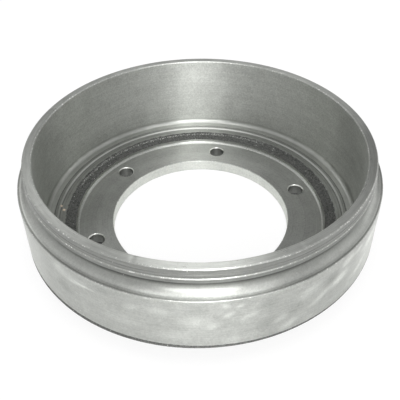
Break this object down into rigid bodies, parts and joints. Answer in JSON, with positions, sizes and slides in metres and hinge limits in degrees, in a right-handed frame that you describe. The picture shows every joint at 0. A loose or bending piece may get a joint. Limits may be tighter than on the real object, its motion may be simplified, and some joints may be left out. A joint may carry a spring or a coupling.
{
  "type": "brake drum",
  "caption": "Open-ended cast brake drum with a stepped lip, a shouldered outer wall and a web with a pilot bore, a machined hub seat and a ring of bolt holes.",
  "frame": {"origin": "centre of the pilot bore on the back face, the flat pad that the drum stands on", "axes": "+Z along the drum's axis, out of the open end; +X through the centre of a bolt hole"},
  "size_m": [0.3425, 0.3426, 0.104],
  "materials": {
    "machined_iron": "satin, turned, with one band of the web left as cast"
  },
  "bodies": {
    "root": {"brake_drum": "machined_iron"}
  },
  "joints": []
}
